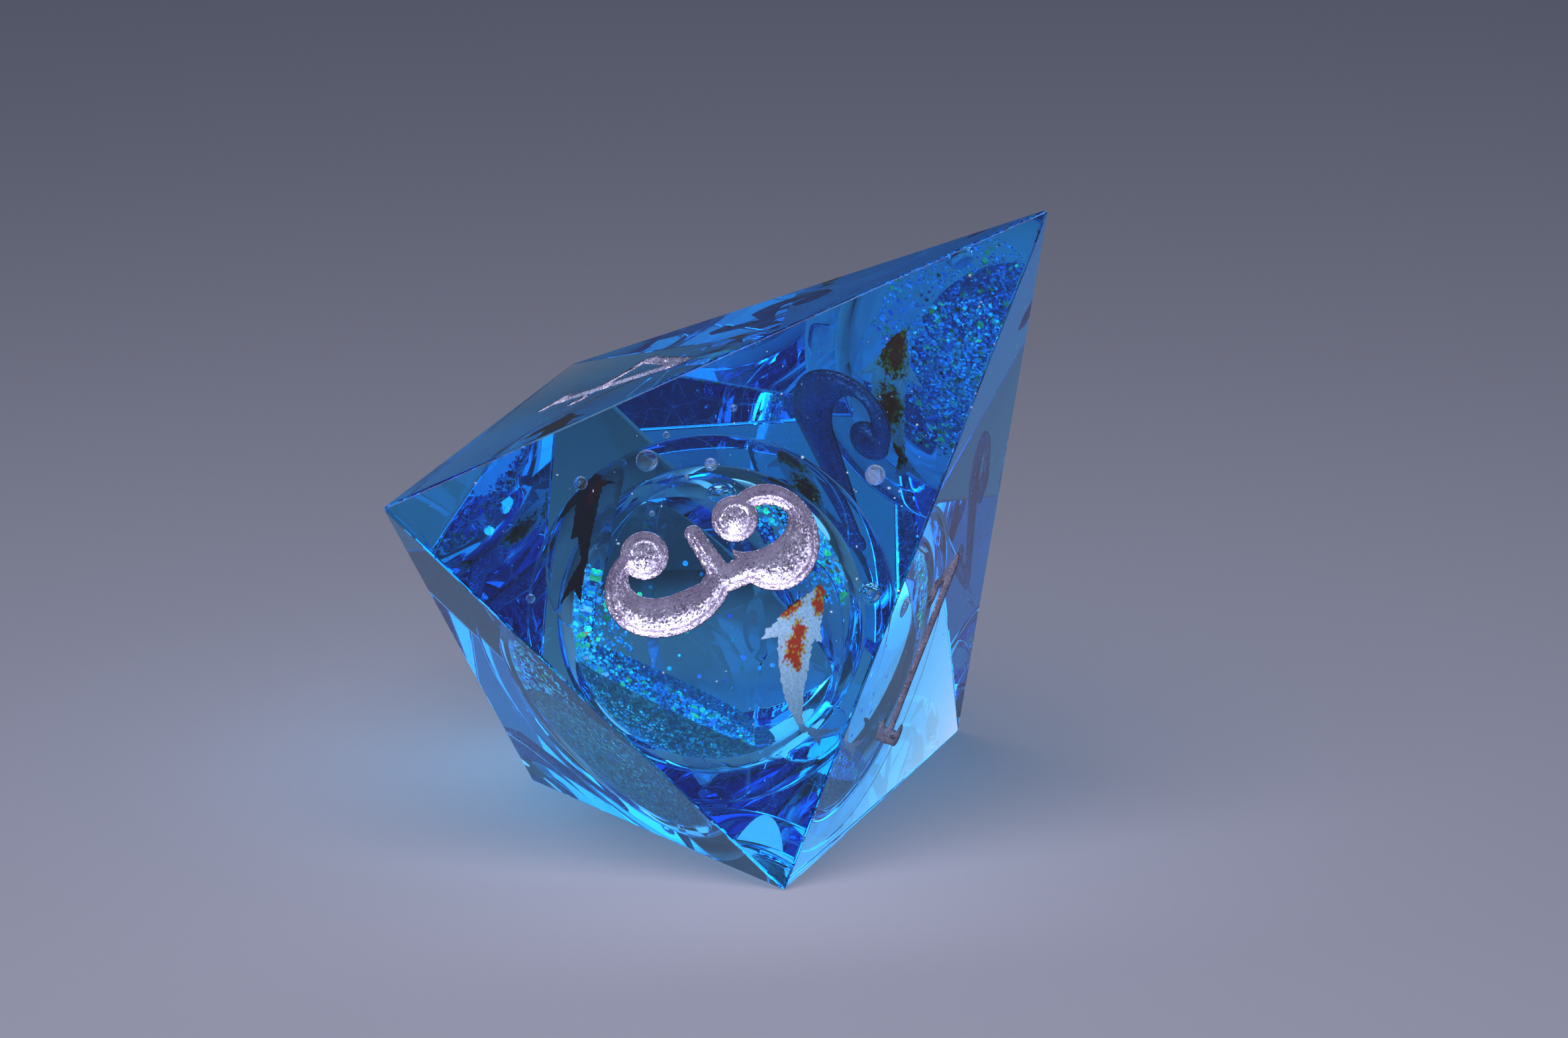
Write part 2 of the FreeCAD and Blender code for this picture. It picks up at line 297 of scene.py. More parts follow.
def turned_to(normals, wobble):
    """Axes whose third is near each normal, leaning by up to about the wobble, and turned at random."""
    third = normals + wobble * rng.normal(size=normals.shape)
    third /= np.linalg.norm(third, axis=1, keepdims=True)
    helper = rng.normal(size=normals.shape)
    first = np.cross(helper, third)
    first /= np.linalg.norm(first, axis=1, keepdims=True)
    return np.stack([first, np.cross(third, first), third], axis=2)


def hexagon(thickness):
    """A hexagonal flake one across, as points and faces."""
    angles = np.radians(60.0 * np.arange(6))
    ring = np.stack([np.cos(angles), np.sin(angles)], axis=1) * 0.5
    points = np.concatenate([np.column_stack([ring, np.full(6, side * thickness / 2.0)]) for side in (1, -1)])
    faces = [list(range(6)), list(range(11, 5, -1))]
    faces += [[i + 6, (i + 1) % 6 + 6, (i + 1) % 6, i] for i in range(6)]
    return points, faces


# ---- materials ----

def node(tree, kind, inputs=None, **settings):
    """A shader node. Its inputs are constants, or outputs to link."""
    made = tree.nodes.new("ShaderNode" + kind)
    for key, value in settings.items():
        setattr(made, key, value)
    for key, value in (inputs or {}).items():
        if isinstance(value, bpy.types.NodeSocket):
            tree.links.new(value, made.inputs[key])
        else:
            made.inputs[key].default_value = value
    return made


class Finish:
    """A material with one Principled shader, and its place in millimetres on the object."""

    def __init__(self, name, **values):
        self.material = bpy.data.materials.new(name)
        self.material.use_nodes = True
        self.tree = self.material.node_tree
        self.shader = self.tree.nodes["Principled BSDF"]
        for key, value in values.items():
            self.shader.inputs[key.replace("_", " ")].default_value = value
        place = self.add("TexCoord").outputs["Object"]
        self.place = self.add("VectorMath", {0: place, "Scale": 1.0 / MM}, operation="SCALE").outputs[0]

    def add(self, kind, inputs=None, **settings):
        return node(self.tree, kind, inputs, **settings)

    def set(self, key, output):
        self.tree.links.new(output, self.shader.inputs[key])

    def grain(self, scale, detail=3.0, distortion=0.0):
        """Noise from 0 to 1."""
        inputs = {"Vector": self.place, "Scale": scale, "Detail": detail, "Distortion": distortion}
        return self.add("TexNoise", inputs).outputs[0]

    def between(self, factor, low, high, to_low=0.0, to_high=1.0):
        """A factor's stretch from low to high, as another stretch."""
        inputs = {0: factor, 1: low, 2: high, 3: to_low, 4: to_high}
        return self.add("MapRange", inputs).outputs[0]

    def blend(self, factor, first, second):
        """Two colours mixed."""
        made = self.add("Mix", {0: factor}, data_type="RGBA")
        for socket, value in ((made.inputs[6], first), (made.inputs[7], second)):
            if isinstance(value, bpy.types.NodeSocket):
                self.tree.links.new(value, socket)
            else:
                socket.default_value = (*value, 1.0)
        return made.outputs[2]

    def facets(self, scale, lean):
        """A normal that leans a different way in every small cell, as grains and flakes do."""
        cells = self.add("TexVoronoi", {"Vector": self.place, "Scale": scale}).outputs["Color"]
        centred = self.add("VectorMath", {0: cells, 1: (0.5, 0.5, 0.5)}, operation="SUBTRACT").outputs[0]
        pushed = self.add("VectorMath", {0: centred, "Scale": lean}, operation="SCALE").outputs[0]
        normal = self.add("NewGeometry").outputs["Normal"]
        summed = self.add("VectorMath", {0: normal, 1: pushed}, operation="ADD").outputs[0]
        self.set("Normal", self.add("VectorMath", {0: summed}, operation="NORMALIZE").outputs[0])

    def bumps(self, height, strength, distance):
        """Bumps in metres of height."""
        inputs = {"Height": height, "Strength": strength, "Distance": distance}
        self.set("Normal", self.add("Bump", inputs).outputs[0])

    def absorb(self, colour, density):
        """A tint that deepens with the way through."""
        volume = self.add("VolumeAbsorption", {"Color": (*colour, 1.0), "Density": density})
        output = self.tree.nodes["Material Output"]
        self.tree.links.new(volume.outputs[0], output.inputs["Volume"])


def clear(name, index, roughness, haze, tint=(1.0, 1.0, 1.0), soil=0.06):
    """A clear finish with faint wipe marks and hairline scratches."""
    made = Finish(name, IOR=index, Transmission_Weight=1.0)
    marks = made.grain(0.45, 6.0, 1.5)
    dusty = tuple(part * (1.0 - soil) for part in tint)
    made.set("Base Color", made.blend(made.between(marks, 0.45, 0.75), tint, dusty))
    inputs = {"Vector": made.place, "Rotation": (0.4, 0.9, 0.3), "Scale": (1.0, 0.12, 0.5)}
    stretch = made.add("Mapping", inputs)
    bent = made.add("TexNoise", {"Vector": made.place, "Scale": 0.25}).outputs["Color"]
    mixed = made.add("VectorMath", {0: stretch.outputs[0], 1: bent}, operation="ADD").outputs[0]
    inputs = {"Vector": mixed, "Scale": 1.1}
    hairs = made.add("TexVoronoi", inputs, feature="DISTANCE_TO_EDGE").outputs["Distance"]
    scratch = made.between(hairs, 0.0, 0.006, 1.0, 0.0)
    wiped = made.between(marks, 0.5, 0.8, roughness, roughness + haze)
    rough = made.add("Math", {0: scratch, 1: 0.25, 2: wiped}, operation="MULTIPLY_ADD").outputs[0]
    made.set("Roughness", rough)
    return made


resin = clear("blue_resin", RESIN_INDEX, 0.0, 0.03)
resin.absorb(RESIN_CLEAR, RESIN_DENSITY)
cavity_wall = clear("blue_resin_cavity", RESIN_INDEX / PLASTIC_INDEX, 0.0, 0.02)

dust = Finish("dust", Roughness=0.7)
dust.set("Base Color", dust.blend(dust.grain(8.0), (0.75, 0.8, 0.85), (0.95, 0.95, 0.95)))

trapped = clear("resin_bubble_wall", RESIN_INDEX, 0.0, 0.0, (1.0, 1.0, 1.0), 0.0)
seam_face = clear("globe_seam", 1.05, 0.0, 0.02, (0.80, 0.88, 0.97), 0.1)
plastic = clear("globe_plastic", 1.0, 0.0, 0.0, (0.985, 0.99, 1.0), 0.02)
chamber_wall = clear("globe_chamber", PLASTIC_INDEX / LIQUID_INDEX, 0.0, 0.01, (0.97, 0.985, 1.0), 0.03)

glue = clear("set_glue", 1.03, 0.03, 0.1, (0.93, 0.96, 1.0))

film = clear("sticker_film", 1.07, 0.02, 0.04, (0.90, 0.95, 1.0), 0.06)

silver = Finish("silver_paint", Metallic=1.0)
shade = silver.grain(1.4, 4.0)
# The tint attribute carries the paint's painted shade, which darkens its rims and underside.
painted_shade_tint = silver.add("Attribute", attribute_name="tint").outputs["Color"]
fleck = silver.add("TexVoronoi", {"Vector": silver.place, "Scale": 20.0}).outputs["Color"]
bright = silver.blend(silver.between(shade, 0.35, 0.65), (0.58, 0.51, 0.65), (0.80, 0.74, 0.88))
mixed = silver.add("Mix", {0: 1.0, 6: bright, 7: painted_shade_tint}, data_type="RGBA", blend_type="MULTIPLY").outputs[2]
silver.set("Base Color", mixed)
fleck_value = silver.add("SeparateColor", {"Color": fleck}).outputs[1]
silver.set("Roughness", silver.between(fleck_value, 0.0, 1.0, 0.2, 0.46))
silver.facets(20.0, 0.5)

print_ink = Finish("print_ink", Roughness=0.5, Specular_IOR_Level=0.1)
inked = print_ink.add("Attribute", attribute_name="tint").outputs["Color"]
dots = print_ink.between(print_ink.grain(14.0, 1.0), 0.35, 0.65)
soft = print_ink.add("Mix", {0: 0.18, 6: inked, 7: (0.0, 0.0, 0.02, 1.0)}, data_type="RGBA").outputs[2]
print_ink.set("Base Color", print_ink.blend(dots, inked, soft))

liquid = clear("core_liquid", 1.0, 0.0, 0.0, (0.985, 0.995, 1.0), 0.02)

air = clear("trapped_air", LIQUID_INDEX, 0.0, 0.0)


def glitter(name, metal=0.85, rough=0.28):
    """Foil flakes: each point's own tint, dulled and brightened a little from place to place."""
    made = Finish(name, Metallic=metal)
    tint = made.add("Attribute", attribute_name="tint").outputs["Color"]
    dull = made.add("Mix", {0: 0.35, 6: tint, 7: (0.0, 0.02, 0.03, 1.0)}, data_type="RGBA").outputs[2]
    made.set("Base Color", made.blend(made.between(made.grain(9.0), 0.4, 0.6), tint, dull))
    made.set("Roughness", made.between(made.grain(5.0), 0.3, 0.7, rough, rough + 0.15))
    return made


foil = glitter("foil_flakes", 0.7, 0.2)
fine_foil = glitter("fine_foil", 0.35, 0.3)
specks = glitter("black_specks", 0.0, 0.6)
grains = glitter("teal_grains", 0.2, 0.35)
grains.facets(11.0, 1.3)


# ---- the resin body ----

# Where a stroke curls over the ball that it ends in: the ball's middle, the curl's radius, and the angles
# that it spans.
CURLS = {
    "digit_3": [(-1.0, 1.25, 0.50, 95.0, 246.0), (-1.1, -1.82, 0.52, 66.0, 262.0)],
    "digit_2": [(-1.1, 1.2, 0.50, 30.0, 200.0)],
}


def pocket(node_name, points, depth):
    """How far a number's pocket goes in: concave, with a ridge along its rim and grooves round its curls."""
    depth = np.maximum(depth, 0.0)
    found = POCKET_DEPTH * (1.0 - np.exp(-depth / POCKET_ROUND))
    found -= RIM_RIDGE * np.exp(-((depth - RIM_RIDGE_DEPTH) / RIM_RIDGE_WIDTH) ** 2)
    for x, y, radius, start, end in CURLS.get(node_name, []):
        offset = points - np.array([x, y])
        angle = np.degrees(np.arctan2(offset[:, 1], offset[:, 0])) % 360.0
        past = np.maximum(start - angle, angle - end).clip(0.0, None) * math.radians(radius)
        gap = np.hypot(np.hypot(offset[:, 0], offset[:, 1]) - radius, past)
        found += CURL_DEPTH * np.exp(-(gap / CURL_WIDTH) ** 2) * (depth > 0.03)
    return found


def face_outline(node_name, plane):
    """The rim of a number's paint, flat on its face."""
    triangles, centres, normals = triangles_of(node_name)
    height = (centres - plane.origin) @ plane.outward
    top = (normals @ plane.outward > 0.99) & (height > height.max() - 0.01)
    return plane.flat(rim_of(triangles[top]))


NUMBER_SIDES = {"digit_3": 0, "digit_1": 1, "digit_2": 2, "digit_4": 3}
numbers = {}
for node_name, side in NUMBER_SIDES.items():
    plane = long_face(side)
    numbers[node_name] = (plane, finer(face_outline(node_name, plane), 0.09))


def bevelled_body():
    """The faceted outside with rounded edges, as a bmesh in millimetres."""
    made = bmesh.new()
    ring = [made.verts.new(corner) for corner in GIRDLE]
    tips = [made.verts.new(tip) for tip in (LONG_TIP, SHORT_TIP)]
    for side in range(4):
        left, right = ring[side], ring[(side + 1) % 4]
        made.faces.new((left, right, tips[0]))
        made.faces.new((right, left, tips[1]))
    bmesh.ops.bevel(made, geom=list(made.edges), offset=EDGE_ROUND, offset_type="OFFSET",
                    segments=EDGE_SEGMENTS, profile=0.5, affect="EDGES")
    return made


def resin_body():
    """The casting: its numbered faces, the hollow for the globe, air bubbles and dust in the resin."""
    made = bevelled_body()
    for node_name, (plane, edges) in numbers.items():
        normal = Vector(plane.outward)
        face = max(made.faces, key=lambda f: f.calc_area() * (f.normal.dot(normal) > 0.999))
        corners = list(face.verts)
        made.faces.remove(face)
        flat_corners = plane.flat(np.array([tuple(vert.co) for vert in corners]))
        points, triangles, depth, inside = filled(edges, RELIEF_STEP, flat_corners)
        level = float(np.mean([(np.array(v.co) - plane.origin) @ plane.outward for v in corners]))
        places = plane.raised(points, level - pocket(node_name, points, depth))
        verts = []
        for place, flat in zip(places, points):
            gaps = np.linalg.norm(flat_corners - flat, axis=1)
            verts.append(corners[int(gaps.argmin())] if gaps.min() < 1e-3 else made.verts.new(place))
        for triangle, deep in zip(triangles, inside):
            new = made.faces.new([verts[index] for index in triangle])
            new.smooth = bool(deep)
    made.verts.index_update()
    points = [np.array([tuple(vert.co) for vert in made.verts])]
    faces = [[vert.index for vert in face.verts] for face in made.faces]
    smooth = [face.smooth for face in made.faces]
    index = [0] * len(faces)
    made.free()

    def add(more_points, more_faces, material_index, inward):
        start = sum(len(part) for part in points)
        points.append(more_points)
        for face in more_faces:
            corners = [int(corner) + start for corner in face]
            faces.append(corners[::-1] if inward else corners)
        smooth.extend([True] * len(more_faces))
        index.extend([material_index] * len(more_faces))

    hollow, hollow_faces = ball(GLOBE_RADIUS, 6)
    add(hollow + GLOBE, hollow_faces, 1, True)
    for bubble, bubble_faces in resin_bubbles():
        add(bubble, bubble_faces, 3, True)
    for place, radius in dust_places():
        speck, speck_faces = ball(radius, 1)
        add(speck * rng.uniform(0.6, 1.4, 3) + place, speck_faces, 2, False)
    made_piece = mesh_piece("resin_body", np.concatenate(points), faces,
                            [resin.material, cavity_wall.material, dust.material, trapped.material],
                            True, index)
    made_piece.data.polygons.foreach_set("use_smooth", smooth)
    return join_up(made_piece, "root", "blue_resin", "resin_body")


# Air and dust in the resin. A front bubble is where it lies across and up the front face, and its radius.
ROUND_BUBBLE_RADIUS = 0.36
ROUND_BUBBLE_STANDOFF = 0.40
ROUND_BUBBLE_WAY = unit((5.82, -1.60, 1.79))
FRONT_BUBBLE_THICKNESS = 0.03
FRONT_BUBBLE_DEPTH = 0.30
FRONT_BUBBLES = [
    (-3.82, -0.53, 0.35), (-2.88, 1.26, 0.21), (-4.03, -2.72, 0.22),
    (-0.46, 5.84, 0.33), (-1.35, -5.65, 0.15), (-4.31, 0.36, 0.12),
    (-4.21, 2.64, 0.12), (-2.23, -1.06, 0.10), (-2.83, 0.40, 0.09),
]
DUST_SIDES = (0, 1, 3)
DUST_PER_SIDE = 110
DUST_DEPTH = 0.07
DUST_SMALLEST = 0.017
DUST_RANGE = 0.035


def resin_bubbles():
    """Air in the resin: a round bubble against the globe, and flat ones just under the front face."""
    points, faces = ball(ROUND_BUBBLE_RADIUS, 4)
    found = [(points + GLOBE + ROUND_BUBBLE_WAY * (GLOBE_RADIUS + ROUND_BUBBLE_STANDOFF), faces)]
    plane = long_face(0)
    for across, up, radius in FRONT_BUBBLES:
        points, faces = ball(1.0, 4)
        flat = points[:, :2] * radius + np.array([across, up])
        found.append((plane.raised(flat, points[:, 2] * FRONT_BUBBLE_THICKNESS - FRONT_BUBBLE_DEPTH), faces))
    return found


def dust_places():
    """Specks of dust just under three of the long faces."""
    found = []
    for side in DUST_SIDES:
        left, right = GIRDLE[side], GIRDLE[(side + 1) % 4]
        plane = long_face(side)
        for _ in range(DUST_PER_SIDE):
            u, v = sorted(rng.uniform(0.03, 0.97, 2))
            place = left * u + right * (v - u) + LONG_TIP * (1.0 - v)
            radius = DUST_SMALLEST + DUST_RANGE * rng.random() ** 3
            found.append((place - plane.outward * DUST_DEPTH, radius))
    return found


# ---- the numbers ----

# Painted shade: the paint's underside, seen through the resin from inside, is darkened to navy as if little
# light reached it.
SHADED_UNDERSIDE = np.array([[0.36, 0.42, 0.60]])


def paint(node_name):
    """The paint in one pocket: a thin closed skin over the pocket's floor. Its tint holds painted shade: darker
    and browner towards the pocket's rim, and darker on the underside.
    """
    plane, edges = numbers[node_name]
    points, triangles, depth, inside = filled(edges, RELIEF_STEP)
    triangles = triangles[inside]
    cover = PAINT_LAYER * (1.0 - np.exp(-depth / 0.03)).clip(0.0, 1.0)
    grain = np.array([noise.noise(Vector((x * 9.0, y * 9.0, 0.0))) for x, y in points])
    floor = -pocket(node_name, points, depth)
    top = plane.raised(points, floor + cover * (0.6 + 0.2 * grain))
    bottom = plane.raised(points, floor - cover * 0.4)
    # Painted shade: the paint darkens and turns brownish towards the pocket's rim, where its walls would be in
    # shade.
    shadow = (1.0 - 0.55 * np.exp(-np.maximum(depth, 0.0) / 0.05))[:, None]
    rim_brown_shade = np.array([[1.0, 0.93, 0.95]]) ** np.exp(-np.maximum(depth, 0.0) / 0.08)[:, None]
    tints = np.concatenate([shadow * rim_brown_shade, shadow * SHADED_UNDERSIDE])
    everything, faces = closed_sheet(triangles, top, bottom)
    made = mesh_piece(node_name, everything, faces, [silver.material])
    give_tints(made, everything, tints)
    return join_up(made, "root", "silver_paint", node_name)


def give_tints(made, places, tints):
    """Colours by place, for a piece whose doubled points were joined."""
    known = {tuple(key): tint for key, tint in zip(np.round(places, 3).tolist(), tints.tolist())}
    layer = made.data.color_attributes.new("tint", "FLOAT_COLOR", "POINT")
    default = tints[0].tolist()
    for vert, entry in zip(made.data.vertices, layer.data):
        key = tuple(np.round(np.array(vert.co) / MM, 3).tolist())
        entry.color = (*known.get(key, default), 1.0)


# ---- the globe ----

SEAM_LIFT = 0.006


def half_globe(name, side):
    """Half of the globe as a closed bowl. Its seam is the plane that the CAD halves meet on."""
    outer = GLOBE_RADIUS - GLOBE_FIT
    rings, around = 64, 192
    seam = seam_direction() * side
    plane = Plane(GLOBE, seam, (0.0, 0.0, 1.0))
    points, faces, index = [], [], []
    for radius in (outer, CHAMBER_RADIUS):
        for ring in range(rings + 1):
            polar = (math.pi / 2.0 - SEAM_LIFT / radius) * ring / rings
            for step in range(around):
                turn = 2.0 * math.pi * step / around
                flat = np.array([[math.cos(turn), math.sin(turn)]]) * radius * math.sin(polar)
                points.append(plane.raised(flat, radius * math.cos(polar))[0])
    size = (rings + 1) * around
    for layer in (0, 1):
        for ring in range(rings):
            for step in range(around):
                following = (step + 1) % around
                a = layer * size + ring * around + step
                b = layer * size + ring * around + following
                c, d = b + around, a + around
                corners = [a, d, c, b] if ring else [a, d, c]
                faces.append(corners if layer == 0 else corners[::-1])
                index.append(layer)
    for step in range(around):
        following = (step + 1) % around
        a = rings * around + step
        b = rings * around + following
        faces.append([a, a + size, b + size, b])
        index.append(2)
    finishes = [plastic.material, chamber_wall.material, seam_face.material]
    made = mesh_piece(name, np.array(points), faces, finishes, True, index)
    mark_sharp(made, 40.0)
    return join_up(made, "root", "clear_globe", name)


def mark_sharp(made, degrees):
    """Edges that turn more than this are shaded sharp."""
    made.data.set_sharp_from_angle(angle=math.radians(degrees))


def seam_direction():
    """The way from the left half globe to the right one, square to the seam."""
    triangles, centres, normals = triangles_of("globe_half_right")
    spans = np.cross(triangles[:, 1] - triangles[:, 0], triangles[:, 2] - triangles[:, 0])
    areas = np.linalg.norm(spans, axis=1)
    flat = np.abs(((centres - GLOBE) * normals).sum(axis=1)) < 0.02
    return -unit((normals[flat] * areas[flat, None]).sum(axis=0))


def fill_plug():
    """The drop of glue in the fill hole: a short post with a domed head against the resin."""
    low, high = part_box("fill_plug")
    centre = np.array((low + high) / 2.0) / MM
    direction = unit(centre - GLOBE)
    points, faces = ball(0.5, 4)
    plane = Plane(GLOBE, direction, (0.0, 0.0, 1.0))
    middle = (GLOBE_RADIUS + CHAMBER_RADIUS) / 2.0
    heights = points[:, 2] / 0.5 * (GLOBE_WALL / 2.0 - 0.05)
    width = np.clip(np.linalg.norm(points[:, :2], axis=1), 1e-6, None)
    round_off = (1.0 - np.abs(points[:, 2] / 0.5) ** 6) ** 0.5
    flat = points[:, :2] / width[:, None] * (0.46 * round_off)[:, None]
    places = plane.raised(flat, heights + middle)
    made = mesh_piece("fill_plug", places, faces, [glue.material])
    return join_up(made, "root", "clear_glue", "fill_plug")


def core_liquid():
    """The liquid that fills the chamber."""
    points, faces = ball(CHAMBER_RADIUS - LIQUID_GAP, 6)
    made = mesh_piece("core_liquid", points + GLOBE, faces, [liquid.material])
    return join_up(made, "liquid", "core_liquid", "core_liquid")


AIR_BUBBLE_RADIUS = 0.42
AIR_BUBBLE_SINK = 0.36
AIR_BUBBLE_WAY = unit((0.56, -0.44, 4.54))


def air_bubble():
    """The bubble at the top of the chamber, pressed a little flat against the wall. Its faces look
    inwards, so that it bends light as air in the liquid does."""
    points, faces = ball(AIR_BUBBLE_RADIUS, 4)
    points = points * np.array([1.2, 1.2, 0.7])
    top = GLOBE + AIR_BUBBLE_WAY * (CHAMBER_RADIUS - LIQUID_GAP - AIR_BUBBLE_SINK)
    made = mesh_piece("air_bubble", points + top, faces[:, ::-1], [air.material])
    return join_up(made, "sediment", "trapped_air", "air_bubble")


# ---- the fish ----

FISH = {
    "front": ((0.10, 0.22, 1.0), "light_print"),
    "side": ((-0.08, 0.72, 0.62), "dark_print"),
    "back": ((-0.12, -0.55, 0.80), "light_print"),
}
WHITE = np.array([0.92, 0.90, 1.0])
RED = np.array([0.95, 0.05, 0.01])
YELLOW = np.array([1.0, 0.52, 0.06])
BLACK = np.array([0.004, 0.002, 0.008])
TAIL_TINT = np.array([0.55, 0.68, 0.85])


def globe_outline(node_name, heading):
    """The rim of a layer on the globe, flat on the plane that touches its middle, and that plane."""
    triangles, centres, normals = triangles_of(node_name)
    radius = np.linalg.norm(triangles - GLOBE, axis=2)
    outer = radius.min(axis=1) > radius.max() - 0.004
    middle = (centres[outer] - GLOBE).mean(axis=0)
    plane = Plane(GLOBE, middle, heading)
    return plane.flat(rim_of(triangles[outer])), plane, float(radius.max())


def film_piece(name, heading):
    """A clear sticker: a thin closed sheet on the globe with a rounded rim."""
    node_name = "koi_" + name + "_film"
    edges, plane, radius = globe_outline(node_name, heading)
    edges = finer(edges, 0.12)
    points, triangles, depth, inside = filled(edges, 0.15)
    thick = 0.07 * np.clip(depth / 0.08, 0.15, 1.0)
    top = plane.wrapped(points, GLOBE_RADIUS + 0.01 + thick)
    bottom = plane.wrapped(points, GLOBE_RADIUS + 0.005)
    everything, faces = closed_sheet(triangles[inside], top, bottom)
    made = mesh_piece(node_name, everything, faces, [film.material])
    mark_sharp(made, 60.0)
    return join_up(made, "root", "clear_film", node_name)


def ragged(edges, amount, step):
    """An outline whose edges are broken up as a coarse print's are."""
    edges = finer(edges, step)

    def shifted(point):
        spot = Vector((point[0] * 9.0, point[1] * 9.0, 3.0))
        shift = np.array([noise.noise(spot), noise.noise(spot + Vector((31.0, 7.0, 0.0)))])
        return point + amount * shift * 2.0

    return np.array([[shifted(start), shifted(end)] for start, end in edges])


def patchy(points, patches, spread=0.16):
    """How far each point is into a set of ovals whose edges wander: x, y, half width, half height."""
    broad = [noise.noise(Vector((x * 3.5, y * 3.5, 1.0))) for x, y in points]
    fine = [noise.noise(Vector((x * 9, y * 9, 5.0))) for x, y in points]
    wander = np.array(broad) + 0.5 * np.array(fine)
    best = np.full(len(points), -9.0)
    for x, y, wide, high in patches:
        reach = 1.0 - np.hypot((points[:, 0] - x) / wide, (points[:, 1] - y) / high)
        best = np.maximum(best, reach)
    return best + spread * 2.0 * wander


FISH_PATCHES = {
    "front": [
        (-0.90, 1.68, 0.34, 0.28), (-0.62, 1.95, 0.34, 0.32), (0.42, 2.30, 0.30, 0.52),
        (0.28, 1.85, 0.26, 0.36), (-0.42, 0.98, 0.26, 0.40), (-0.50, 0.45, 0.34, 0.52),
        (-0.34, 0.0, 0.16, 0.26), (0.4, -1.6, 0.1, 0.25),
    ],
    "side": [(0.25, 1.1, 0.40, 0.8)],
    "back": [(0.0, 1.6, 0.6, 0.9), (0.1, -0.3, 0.5, 0.8), (0.0, -2.0, 0.4, 0.5)],
}


def print_piece(name, heading, slot_name):
    """The printed fish: ink in dots of white, red, yellow and black on the sticker. The side fish has painted
    shade: its ink is near black with a darkened red.
    """
    node_name = "koi_" + name + "_print"
    edges, plane, radius = globe_outline(node_name, heading)
    edges = ragged(edges, 0.035, 0.06)
    points, triangles, depth, inside = filled(edges, 0.06)
    top = plane.wrapped(points, GLOBE_RADIUS + 0.115)
    bottom = plane.wrapped(points, GLOBE_RADIUS + 0.095)
    red = patchy(points, FISH_PATCHES[name])
    speck = rng.normal(size=len(points))
    tints = np.tile(WHITE, (len(points), 1)) * (1.0 - 0.10 * np.abs(speck))[:, None].clip(0.5, 1.0)
    if name == "side":
        # Painted shade: the side fish lies in shade, so its print is painted near black, with its red patches
        # as a darkened red.
        tints = np.tile(BLACK, (len(points), 1))
        tints[red + 0.1 * speck > 0.25] = RED * 0.08
    else:
        tints[red + 0.2 * speck > 0.02] = YELLOW
        tints[red + 0.25 * speck > 0.2] = RED
        tail = points[:, 1] < -2.0
        tints[tail] *= TAIL_TINT
        if name == "front":
            brow = (points[:, 1] - 1.62) - 0.714 * (points[:, 0] + 1.09)
            tints[(np.abs(brow) < 0.12) & (depth < 0.09) & (speck > -0.8)] = BLACK
    everything, faces = closed_sheet(triangles[inside], top, bottom)
    made = mesh_piece(node_name, everything, faces, [print_ink.material], False)
    give_tints(made, everything, np.tile(tints, (2, 1)))
    return join_up(made, "root", slot_name, node_name)


# ---- the glitter ----

BED_AXIS = unit((-0.36, -0.33, -0.87))
BED_SPREAD = math.radians(46.5)
BED_DEPTH = 0.95
WALL = CHAMBER_RADIUS - LIQUID_GAP - 0.03
TEALS = np.array([[0.03, 0.55, 0.85], [0.04, 0.70, 0.75], [0.04, 0.42, 0.90], [0.15, 0.85, 0.95]])


def bed_thickness(directions):
    """The glitter's thickness on the wall in each direction: a heap that thins out to a ragged rim."""
    polar = np.arccos(np.clip(directions @ BED_AXIS, -1.0, 1.0))
    rough = np.array([noise.noise(Vector(d * 2.2)) + 0.5 * noise.noise(Vector(d * 6.0)) for d in directions])
    share = 1.0 - polar / (BED_SPREAD * (1.0 + 0.09 * rough))
    return BED_DEPTH * np.clip(share, 0.0, 1.0) ** 0.6 * (1.0 + 0.2 * rough)


def glitter_bed():
    """The settled heap: a closed shape between the wall and its own granular top."""
    plane = Plane(GLOBE, BED_AXIS, (1.0, 0.0, 0.0))
    rings, around = 90, 260
    directions = []
    for ring in range(rings + 1):
        polar = BED_SPREAD * 1.15 * ring / rings
        for step in range(around):
            turn = 2.0 * math.pi * step / around
            flat = np.array([[math.cos(turn), math.sin(turn)]]) * math.sin(polar)
            directions.append(plane.raised(flat, math.cos(polar))[0] - GLOBE)
    directions = np.array(directions)
    thickness = bed_thickness(directions)
    granular = 0.05 * rng.random(len(directions)) * (thickness > 0.02)
    granular[:around] = granular[0]
    top = GLOBE + directions * (WALL - 0.01 - thickness + granular)[:, None]
    uneven = 0.012 * rng.random(len(directions))
    uneven[:around] = uneven[0]
    bottom = GLOBE + directions * (WALL - uneven)[:, None]
    faces = []
    for ring in range(rings):
        for step in range(around):
            a, b = ring * around + step, ring * around + (step + 1) % around
            faces.append([a, a + around, b + around, b] if ring else [a, a + around, b + around])
    faces = [face[::-1] for face in faces]
    size = len(directions)
    rim = rings * around
    every = faces + [[corner + size for corner in face[::-1]] for face in faces]
    for step in range(around):
        a, b = rim + step, rim + (step + 1) % around
        every.append([b, a, a + size, b + size][::-1])
    pick = rng.integers(0, len(TEALS), 2 * size)
    points = np.concatenate([top, bottom])
    made = mesh_piece("glitter_bed", points, every, [grains.material], False)
    give_tints(made, points, TEALS[pick] * rng.uniform(0.5, 1.1, (2 * size, 1)))
    return made


